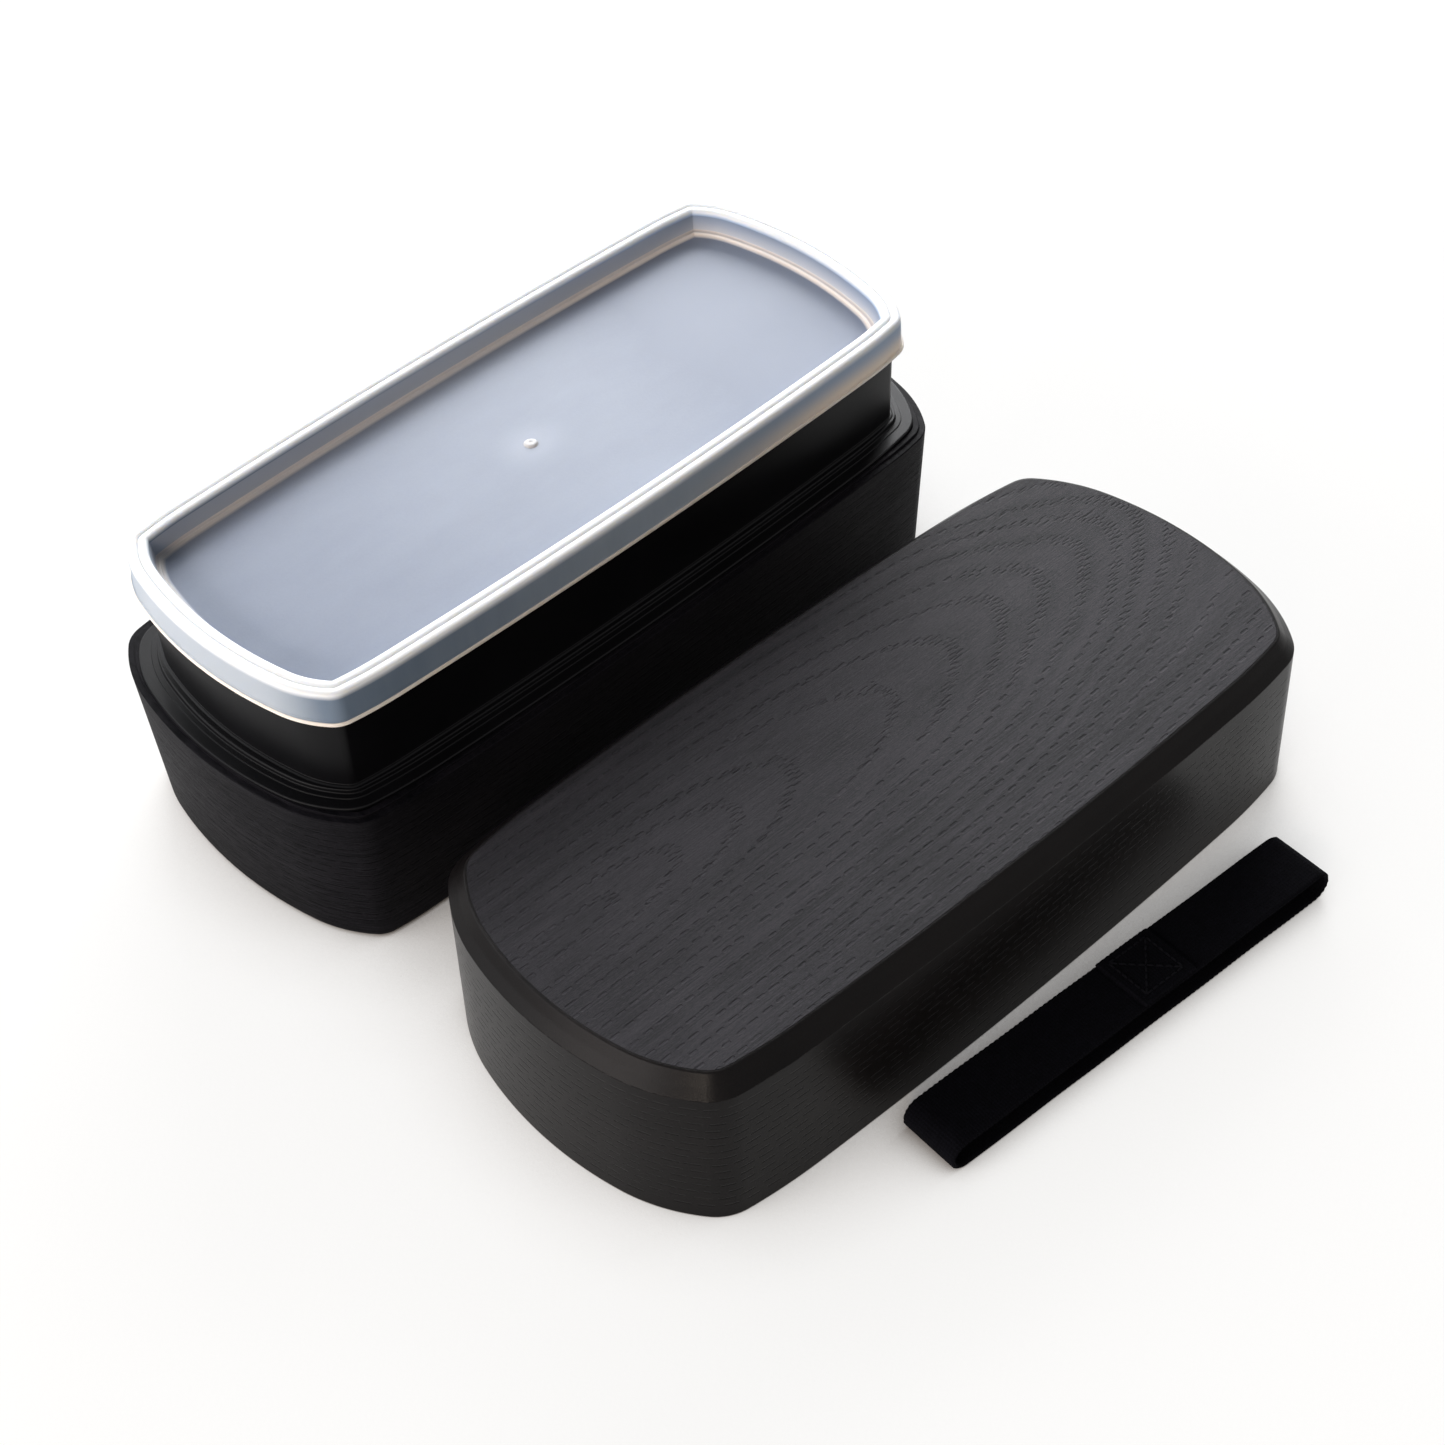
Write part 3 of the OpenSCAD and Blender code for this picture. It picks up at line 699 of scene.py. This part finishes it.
# ---- upper box ------------------------------------------------------------------------------
def make_upper_box():
    channel_z = FLANGE_Z - SKIRT_T
    plug_in = LIP_IN + PLUG_GAP
    bead_z = UPPER_TOP - 3 * BEAD
    sections = held(rounded([
        (inset(FOOT, 3.2), PLUG_Z, 0),
        (inset(FOOT, 0.3), PLUG_Z, 0.9),
        (inset(FOOT, 0.3), channel_z, 0.4),
        (inset(RIM, plug_in + SKIRT_T), channel_z, 0.4),
        (inset(RIM, plug_in + SKIRT_T), PLUG_Z, 0.3),
        (inset(RIM, plug_in), PLUG_Z, 0.5),
        (inset(RIM, plug_in), LIP_Z, 0.1),
        (FLANGE, LIP_Z, 0.2),
        (FLANGE, FLANGE_Z, 0.5),
        (inset(SHELF, -1.6), FLANGE_Z, 0.1),
        (inset(SHELF, -1.5), FLANGE_Z + 0.25, 0.1),
        (SHELF, FLANGE_Z + 0.3, 0.3),
        (SHELF, FOOT_Z, 0.55),
        (inset(FOOT, -0.8), FOOT_Z, 0.2),
        (inset(FOOT, -0.4), FOOT_Z + 0.25, 0.15),
        (FOOT, FOOT_Z + 0.3, 0.5),
        (UPPER, bead_z - BEAD, 0.3),
        (inset(UPPER, -BEAD), bead_z, 0.3),
        (inset(UPPER, -BEAD), UPPER_TOP, 0.5),
        (inset(UPPER, UPPER_WALL), UPPER_TOP, 0.4),
        (inset(FOOT, UPPER_WALL), PLUG_Z + UPPER_FLOOR, INNER_R),
        (inset(FOOT, UPPER_WALL + INNER_R + 2), PLUG_Z + UPPER_FLOOR, 0),
    ]), hold=0.2, longest=12.0)
    skin = Skin(sections, BOX_STEPS, low_cap=(6,), high_cap=(8,))
    finish = satin_finish("black_plastic_satin", (0.0012, 0.0012, 0.0015), (0.0045, 0.0045, 0.0055), 0.37, 0.095)
    return stand_in(skin.object("upper_box_shell"), "upper_box", "upper_box", finish)


# ---- sealing lid ----------------------------------------------------------------------------
def lid_finish():
    """Frosted polyethylene: milky white where it is thick or edge on, and painted lighter there too, bluish grey
    where it is thin and the black box shows through, with a soft bloom round the gate mark. Painted light:
    a warm painted glow on the skirt's foot and the panel's small steps, the recess walls painted lighter, the
    skirt and panel painted lighter or darker along the lid, and both ends painted paler."""
    f = Finish("frosted_polyethylene", (0.5, 0.56, 0.67), 0.4, 0.16)
    milky_and_painted_light, painted_glow, panel = f.split(f.layer("part"))
    grain = f.noise(f.position(), 1500.0, 3.0, 0.6)
    cloud = f.noise(f.scaled(f.position(), 1, 2.2, 1), 22.0, 3.0, 0.55)
    flow = f.noise(f.scaled(f.position(), 260, 260, 30), 1.0, 3.0, 0.6)
    x, y, z = f.split(f.scaled(f.position(), 1000, 1000, 1000))
    bloom = ((x * x) * 0.7 + y * y).op("SQRT").step(15.0, 0.0)
    # Painted light: the panel darker at the near end, lighter towards the middle and much darker towards the far end.
    tone = (cloud - 0.5) * 0.5 + (grain - 0.5) * 0.12 + x.step(-100.0, 20.0) * 0.30 - x.step(10.0, 100.0) * 0.75
    tone = tone + 0.05 + bloom * bloom * 0.4
    thin = f.shade(tone.op("MAXIMUM", 0.0).op("MINIMUM", 1.0), (0.23, 0.265, 0.345), (0.43, 0.475, 0.56))
    # Painted light: the thin skirt darker at the near end and lighter towards the middle.
    near = (x.step(-95.0, 15.0) * 0.85 + flow * 0.25 - 0.05).op("MINIMUM", 1.0)
    dim = f.shade(near, (0.14, 0.19, 0.26), (0.36, 0.43, 0.52))
    # Painted light towards the far end: the skirt pale and warm near its foot, blue above.
    far_end_painted_light = f.shade(z.step(LID_LOW + 1.0, LID_Z - 1.5), (0.97, 0.86, 0.76), (0.36, 0.47, 0.64))
    far = f.blend(x.step(5.0, 80.0), dim, far_end_painted_light)
    # Painted light: both ends of the lid paler.
    side = f.blend(x.op("ABSOLUTE").step(96.0, 104.0), far, None, (0.42, 0.47, 0.53))
    skin = f.blend(panel, side, thin)
    # Milky white where thick or edge on, with painted light on the rim and the recess walls.
    white = f.blend(milky_and_painted_light, skin, None, (0.88, 0.91, 0.95))
    # Painted glow: a warm pale colour on the skirt's foot and the panel's small steps.
    step = f.blend(painted_glow, white, None, (0.93, 0.84, 0.76))
    f.into("Base Color", step.outputs["Result"])
    f.into("Roughness", (cloud - 0.5) * 0.14 + (grain - 0.5) * 0.1 + 0.42)
    f.into("Normal", f.bump(grain * 0.6 + cloud * 0.4, 0.05 * MM, 0.5))
    shader = f.shader.inputs
    shader["IOR"].default_value = 1.5
    shader["Transmission Weight"].default_value = 0.12
    shader["Subsurface Weight"].default_value = 0.5
    shader["Subsurface Radius"].default_value = (0.9, 1.0, 1.2)
    shader["Subsurface Scale"].default_value = 2 * MM
    return f.material


def make_sealing_lid():
    """The lid as one skin, with a double bead on its rim, and the gate mark in the middle of its panel."""
    wall_in = RIM_W - LID_T
    bead_w = (RIM_W - 1.2) / 2

    def bead(start):
        return [(inset(LID, start + bead_w * (1 - math.cos(t)) / 2), LID_Z + RIM_BEAD_H * math.sin(t), 0)
                for t in np.linspace(0, math.pi, 9)]

    sections = held(rounded([
        (inset(LID, wall_in + 4), PANEL_Z - LID_T, 0),
        (inset(LID, wall_in), PANEL_Z - LID_T, 1.2),
        (inset(LID, wall_in), UPPER_TOP, 0.4),
        (inset(LID, LID_T), UPPER_TOP, 0.4),
        (inset(LID, LID_T), LID_LOW, 0.3),
        (inset(LID, -0.42), LID_LOW, 0.2),
        (inset(LID, -0.42), LID_LOW + 1.0, 0.25),
        (inset(LID, 0.05), LID_LOW + 1.1, 0.1),
        (inset(LID, 0.1), LID_LOW + 1.5, 0.2),
        (inset(LID, 0.2), LID_LOW + 1.7, 0.2),
        (inset(LID, 0.4), UPPER_TOP, 0),
        (inset(LID, 0.5), LID_Z - 0.5, 0.6),
    ] + bead(0.6) + bead(0.6 + bead_w)[1:] + [
        (inset(LID, RIM_W - 0.3), LID_Z - 0.6, 0.5),
        (inset(LID, RIM_W + 0.3), PANEL_Z + 1.2, 0.5),
        (inset(LID, RIM_W + 0.6), PANEL_Z + 0.9, 0.3),
        (inset(LID, RIM_W + 1.2), PANEL_Z + 0.9, 0.25),
        (inset(LID, RIM_W + 1.5), PANEL_Z + 0.3, 0.25),
        (inset(LID, RIM_W + 2.4), PANEL_Z, 0.6),
        (inset(LID, RIM_W + 4), PANEL_Z, 0),
    ]), hold=0.2, longest=12.0)
    skin = Skin(sections, BOX_STEPS, low_cap=(8,), high_cap=(12,))
    heights, inwards = skin.heights, LID[0] - skin.lengths
    outside = np.arange(len(heights)) < np.argmax(heights)

    def part(points, rings, columns):
        """How milky and painted lighter, how much painted glow, and how far it is the thin panel, ring by ring."""
        z, inward, outer = heights[rings], inwards[rings], outside[rings]
        # The rim is milky where it is thick, and painted lighter as well.
        rim = ramp(z, LID_Z - 1.3, LID_Z + 0.1) * outer + ramp(z, LID_Z - 0.7, LID_Z + 0.2) * ~outer
        # Painted glow on the skirt's foot and the panel's small steps.
        flange = outer & (z < LID_LOW + 1.05) & (inward < -0.05)
        steps = ~outer & (z > PANEL_Z + 0.2) & (z < PANEL_Z + 1.25) & (inward > RIM_W + 0.15) & (inward < RIM_W + 1.6)
        panel = ~outer & (inward > RIM_W + 1.9)
        foot = ~outer * ramp(z, LID_Z - 1.0, PANEL_Z + 1.2) * (inward < RIM_W + 0.4) * 0.35
        recess = ~outer & (z > PANEL_Z + 0.8) & (z < LID_Z - 0.7) & (inward > RIM_W - 0.8)
        # Painted light: the recess walls lighter, fading out towards the far end.
        recess_painted_light = recess * 0.3 * (1 - ramp(points[:, 0], 70, 95))
        milky_and_painted_light = np.maximum(np.maximum(rim, foot), recess_painted_light)
        return np.column_stack([milky_and_painted_light, flange * 1.0 + steps * 0.6, panel + recess * 0.7])

    shell = skin.object("sealing_lid_shell", {"part": part})
    lid = stand_in(shell, "sealing_lid", "sealing_lid", lid_finish())
    rings, around = [], 32
    for r, z in [(1.9, -0.3), (1.9, 0.02), (1.62, 0.1), (1.5, 0.3), (1.3, 0.45), (0.9, 0.5), (0.45, 0.47),
                 (0.3, 0.36)]:
        t = np.linspace(0, 2 * math.pi, around, endpoint=False)
        rings.append(np.stack([r * np.cos(t), r * np.sin(t), np.full(around, PANEL_Z + z)], 1))
    points = np.vstack(rings)
    mesh = bpy.data.meshes.new("sealing_lid_boss")
    mesh.from_pydata([tuple(p * MM) for p in points], [], tube(0, len(rings), around))
    put_layer(mesh, "part", "POINT", [(0.4, 0.3, 1.0)] * len(points))
    boss = finish_object(mesh)
    boss.data.materials.append(lid.data.materials[0])
    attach(boss, "sealing_lid")


# ---- elastic band ---------------------------------------------------------------------------
BAND_SAG = 0.1925
WEB_STEP, WEB_RIB, WEB_CROWN, WEB_COLUMNS = 0.8, 1.6, 0.05, 34


def web_section(width):
    """Closed section of webbing across its width: crowned faces, rounded selvedges. Rows of (across, out)."""
    half = width / 2
    top = []
    for i in range(WEB_COLUMNS + 1):
        y = -half + width * i / WEB_COLUMNS
        edge = min(1.0, (half - abs(y)) / (BAND_T * 0.55))
        round_off = math.sqrt(max(0.0, 1 - (1 - edge) ** 2))
        top.append((y, BAND_T / 2 * round_off * (1 + WEB_CROWN * (1 - (y / half) ** 2))))
    return np.array(top + [(y, -out) for y, out in top[-2:0:-1]])


def web_finish():
    """Knitted black elastic: cords along the length, crossed by fine zigzag yarns, with a little fluff."""
    f = Finish("black_elastic_webbing", (0.003, 0.003, 0.0035), 0.95, 0.04)
    along, across, _ = f.split(f.layer("web"))
    zig = along * 1.25 + (across * 2.2).op("PINGPONG", 0.5) * 0.8
    yarn = (zig * (2 * math.pi)).op("SINE") * 0.5 + 0.5
    cord = (across * (2 * math.pi * 1.1)).op("SINE") * 0.5 + 0.5
    fluff = f.noise(f.position(), 3200.0, 3.0, 0.7)
    uneven = f.noise(f.position(), 320.0, 3.0, 0.6)
    height = yarn * 0.5 + cord * 0.3 + fluff * 0.5 + uneven * 0.3
    # The knit's low parts are painted darker than its raised yarns: painted shade.
    tone = (height * 0.55 + (uneven - 0.5) * 0.5 + (fluff - 0.5) * 1.4).op("MINIMUM", 1.0).op("MAXIMUM", 0.0)
    mix = f.shade(tone, (0.0008, 0.0008, 0.001), (0.0055, 0.0055, 0.0085))
    f.into("Base Color", mix.outputs["Result"])
    f.into("Roughness", (fluff - 0.5) * 0.1 + 0.93)
    f.into("Normal", f.bump(height, 0.16 * MM, 0.9))
    return f.material


def sweep(path, tangent, section, close):
    """Sweeps a web section along a path in the XZ plane, with small ribs: points, web coordinates and faces."""
    path, tangent = np.array(path), np.array(tangent)
    normal = np.stack([-tangent[:, 1], tangent[:, 0]], 1)
    steps = np.linalg.norm(np.diff(path, axis=0), axis=1)
    length = np.concatenate([[0], np.cumsum(steps)])
    n, m = len(path), len(section)
    rib = 1 + 0.05 * np.sin(2 * math.pi * length / WEB_RIB)
    points, web = [], []
    for i in range(n):
        ripple = 0.011 * math.sin(2 * math.pi * length[i] / WEB_RIB) + 0.006 * math.sin(length[i] / 5.3)
        wide = section[:, 0] * (1 + ripple)
        out = section[:, 1] * rib[i]
        points.append(np.column_stack([path[i, 0] + normal[i, 0] * out, wide, path[i, 1] + normal[i, 1] * out]))
        web.append(np.column_stack([np.full(m, length[i]), section[:, 0], out]))
    faces = []
    for i in range(n if close else n - 1):
        j = (i + 1) % n
        faces += [[i * m + k, i * m + (k + 1) % m, j * m + (k + 1) % m, j * m + k] for k in range(m)]
    if not close:
        faces += [list(range(m))[::-1], [(n - 1) * m + k for k in range(m)]]
    return np.vstack(points), np.vstack(web), faces


def make_band():
    """The loop lying on its side and the overlap's upper layer sewn on it, as one piece of webbing."""
    r, mid = (BAND_H - BAND_T) / 2, BAND_H / 2
    straight = (BAND_LEN - BAND_H) / 2
    count, turns = int(2 * straight / WEB_STEP), 16

    def top(x):
        """Height of the upper run's middle, which sags a little between the turns."""
        return mid + r - BAND_SAG * (1 - (x / straight) ** 2) ** 2

    # The upper run and the turn at its end, then the lower run and the other turn
    path, tangent = [], []
    for side in (1, -1):
        for i in range(count):
            x = side * (straight - 2 * straight * i / count)
            path.append((x, top(x) if side > 0 else mid - r))
            tangent.append((-side, 0))
        for i in range(turns):
            t = math.pi * (i / turns + side / 2)
            path.append((-side * straight + r * math.cos(t), mid + r * math.sin(t)))
            tangent.append((-math.sin(t), math.cos(t)))
    over, half, steps = [], OVERLAP_LEN / 2, 26
    for i in range(steps + 1):
        x = OVERLAP_X + half - OVERLAP_LEN * i / steps
        end = min(1.0, half - abs(x - OVERLAP_X))
        over.append((x, top(x) + BAND_T * 0.96 - 0.12 * (1 - end)))
    loop = sweep(path, tangent, web_section(BAND_WID), True)
    patch = sweep(over, [(-1, 0)] * len(over), web_section(BAND_WID - 0.3), False)
    points, web = np.vstack([loop[0], patch[0]]), np.vstack([loop[1], patch[1]])
    faces = loop[2] + [[v + len(loop[0]) for v in face] for face in patch[2]]
    mesh = bpy.data.meshes.new("band_webbing")
    mesh.from_pydata([tuple(p * MM) for p in points], [], faces)
    put_layer(mesh, "web", "POINT", web)
    return stand_in(finish_object(mesh, BAND_PLACE), "band", "elastic_band", web_finish())


def thread_finish():
    """Black polyester thread: a tight twist with a slight shine."""
    f = Finish("black_thread", (0.003, 0.003, 0.0045), 0.75, 0.06)
    x, y, z = f.split(f.scaled(f.position(), 1000, 1000, 1000))
    twist = ((x + y + z * 0.6) * 16.0).op("SINE") * 0.5 + 0.5
    fuzz = f.noise(f.position(), 2800.0, 2.0, 0.6)
    # The twist's grooves are painted darker than its ridges: painted shade.
    mix = f.shade(twist * 0.6 + fuzz * 0.3, (0.0014, 0.0014, 0.002), (0.0068, 0.0068, 0.0098))
    f.into("Base Color", mix.outputs["Result"])
    f.into("Roughness", (fuzz - 0.5) * 0.2 + 0.8)
    f.into("Normal", f.bump(twist * 0.7 + fuzz * 0.3, 0.05 * MM, 0.7))
    return f.material


def make_stitches():
    """Separate stitches along a square and its two diagonals, each a short thread that dips at its ends."""
    h = STITCH_SIDE / 2 - 0.35
    corners = [(-h, -h), (h, -h), (h, h), (-h, h)]
    lines = [(corners[i], corners[(i + 1) % 4]) for i in range(4)]
    lines += [(corners[0], corners[2]), (corners[1], corners[3])]
    base_z = BAND_H + BAND_T
    points, faces = [], []
    around = 8
    for (x0, y0), (x1, y1) in lines:
        length = math.hypot(x1 - x0, y1 - y0)
        count = round(length / 2.1)
        ux, uy = (x1 - x0) / length, (y1 - y0) / length
        for s in range(count):
            a, b = (s + 0.08) / count * length, (s + 0.92) / count * length
            start = len(points)
            rings = 7
            for i in range(rings):
                t = i / (rings - 1)
                d = a + (b - a) * t
                lift = math.sin(math.pi * t)
                radius = 0.12 + 0.16 * lift ** 0.5
                cx, cy, cz = x0 + ux * d, y0 + uy * d, base_z - 0.25 + 0.27 * lift ** 0.6
                for k in range(around):
                    g = 2 * math.pi * k / around
                    side, up = radius * math.cos(g), radius * math.sin(g)
                    points.append((OVERLAP_X + cx - uy * side, cy + ux * side, cz + up))
            faces += tube(start, rings, around)
    mesh = bpy.data.meshes.new("band_threads")
    mesh.from_pydata([tuple(c * MM for c in p) for p in points], [], faces)
    return stand_in(finish_object(mesh, BAND_PLACE), "band", "band_stitching", thread_finish())


# ---- stage, light and camera ----------------------------------------------------------------
FLOOR_GLOW = 0.86


def backdrop_rays(tree):
    """1 for rays that see the white background: the camera's, and those in reflections and clear plastic."""
    path = tree.nodes.new("ShaderNodeLightPath")
    seen = Value(tree, path.outputs["Is Camera Ray"]) + Value(tree, path.outputs["Is Glossy Ray"])
    return (seen + Value(tree, path.outputs["Is Transmission Ray"])).op("MINIMUM", 1.0)


def make_stage():
    """A white paper floor with a very fine tooth. It glows part of the way to white for the camera and in
    reflections, and keeps the rest of the shadows. Where something stands close to it, as ambient occlusion
    finds, it glows less and its colour turns warm dark: a painted contact shadow."""
    bpy.ops.mesh.primitive_plane_add(size=8, location=(0, 0, 0))
    floor = bpy.context.object
    floor.name = "floor"
    f = Finish("white_floor", (0.93, 0.925, 0.915), 0.9, 0.1)
    nodes, links = f.tree.nodes, f.tree.links
    near = nodes.new("ShaderNodeAmbientOcclusion")
    near.inputs["Distance"].default_value, near.samples = 0.045, 8
    clear = Value(f.tree, near.outputs["AO"]).step(0.0, 0.92)
    tooth = f.noise(f.position(), 900.0, 3.0, 0.6)
    paper = f.shade(tooth, (0.93, 0.923, 0.91), (0.98, 0.975, 0.965))
    # Painted contact shadow: the floor's colour turns warm dark where ambient occlusion finds something close.
    mix = f.shade(clear, (0.30, 0.26, 0.23), (1, 1, 1))
    f.tree.links.new(paper.outputs["Result"], mix.inputs["B"])
    f.into("Base Color", mix.outputs["Result"])
    f.into("Normal", f.bump(tooth, 0.1 * MM, 0.5))
    # The glow fades where something stands close: painted contact shadow.
    share = backdrop_rays(f.tree) * clear * (clear * 0.4 + 0.6) * FLOOR_GLOW
    glow, blend = nodes.new("ShaderNodeEmission"), nodes.new("ShaderNodeMixShader")
    glow.inputs["Color"].default_value, glow.inputs["Strength"].default_value = (1, 0.997, 0.99, 1), 0.98
    links.new(share.socket, blend.inputs["Fac"])
    links.new(f.shader.outputs["BSDF"], blend.inputs[1])
    links.new(glow.outputs[0], blend.inputs[2])
    links.new(blend.outputs[0], nodes["Material Output"].inputs["Surface"])
    floor.data.materials.append(f.material)


def put_facing(data, right, up, back, place):
    """Adds a lamp or camera at a place, with the given directions as its own X, Y and Z."""
    obj = bpy.data.objects.new(data.name, data)
    bpy.context.scene.collection.objects.link(obj)
    m = np.eye(4)
    m[:3] = np.column_stack([right, up, back, place])
    obj.matrix_world = Matrix(m.tolist())
    return obj


def area_lamp(name, place, aim, size, power, colour):
    """A rectangular lamp that faces a point."""
    light = bpy.data.lights.new(name, "AREA")
    light.shape, light.size, light.size_y = "RECTANGLE", size[0], size[1]
    light.energy, light.color = power, colour
    ahead = np.array(aim) - place
    ahead /= np.linalg.norm(ahead)
    right = np.cross(ahead, (0, 0, 1))
    right /= np.linalg.norm(right)
    put_facing(light, right, np.cross(right, ahead), -ahead, place)


def make_lights():
    aim, size = (0, -0.05, 0.03), (1.6, 1.2)
    area_lamp("back", (0.0, 1.9, 1.0), aim, size, 22, (0.95, 0.97, 1.0))
    area_lamp("back_right", (1.6, 1.4, 0.95), aim, size, 97, (0.97, 0.98, 1.0))
    area_lamp("back_left", (-1.4, 1.4, 1.0), aim, size, 15, (0.96, 0.98, 1.0))
    area_lamp("back_high", (0.3, 1.4, 1.9), (0, -0.05, 0), (2.0, 1.4), 9, (1.0, 0.99, 0.97))
    area_lamp("left", (-1.7, 0.1, 0.7), aim, (1.2, 0.8), 23, (1.0, 0.93, 0.90))
    area_lamp("left_front", (-1.4, -1.0, 0.8), aim, (0.4, 0.3), 9, (1.0, 0.86, 0.72))
    world = bpy.data.worlds.new("studio")
    bpy.context.scene.world = world
    world.use_nodes = True
    nodes, links = world.node_tree.nodes, world.node_tree.links
    nodes.clear()
    out = nodes.new("ShaderNodeOutputWorld")
    dim, white = nodes.new("ShaderNodeBackground"), nodes.new("ShaderNodeBackground")
    dim.inputs["Color"].default_value, dim.inputs["Strength"].default_value = (0.97, 0.985, 1.0, 1), 0.032
    white.inputs["Color"].default_value, white.inputs["Strength"].default_value = (1, 1, 1, 1), 1.0
    mix = nodes.new("ShaderNodeMixShader")
    links.new(backdrop_rays(world.node_tree).socket, mix.inputs["Fac"])
    links.new(dim.outputs[0], mix.inputs[1])
    links.new(white.outputs[0], mix.inputs[2])
    links.new(mix.outputs[0], out.inputs["Surface"])


def make_camera():
    """The photograph's camera, as fitted to its edges."""
    data = bpy.data.cameras.new("camera")
    data.sensor_width, data.lens = 36.0, 65.79
    data.clip_start, data.clip_end = 0.01, 50
    right = np.array([0.70912, -0.70412, -0.03688])
    down = np.array([-0.52211, -0.48923, -0.69861])
    ahead = np.array([0.47387, 0.51465, -0.71455])
    place = np.array([-0.319158, -0.412617, 0.500235])
    bpy.context.scene.camera = put_facing(data, right, -down, -ahead, place)


make_camera()
make_cover()
make_lower_box()
make_divider()
make_upper_box()
make_sealing_lid()
make_band()
make_stitches()
make_stage()
make_lights()
bpy.context.scene.view_settings.view_transform = "Standard"
bpy.context.view_layer.update()
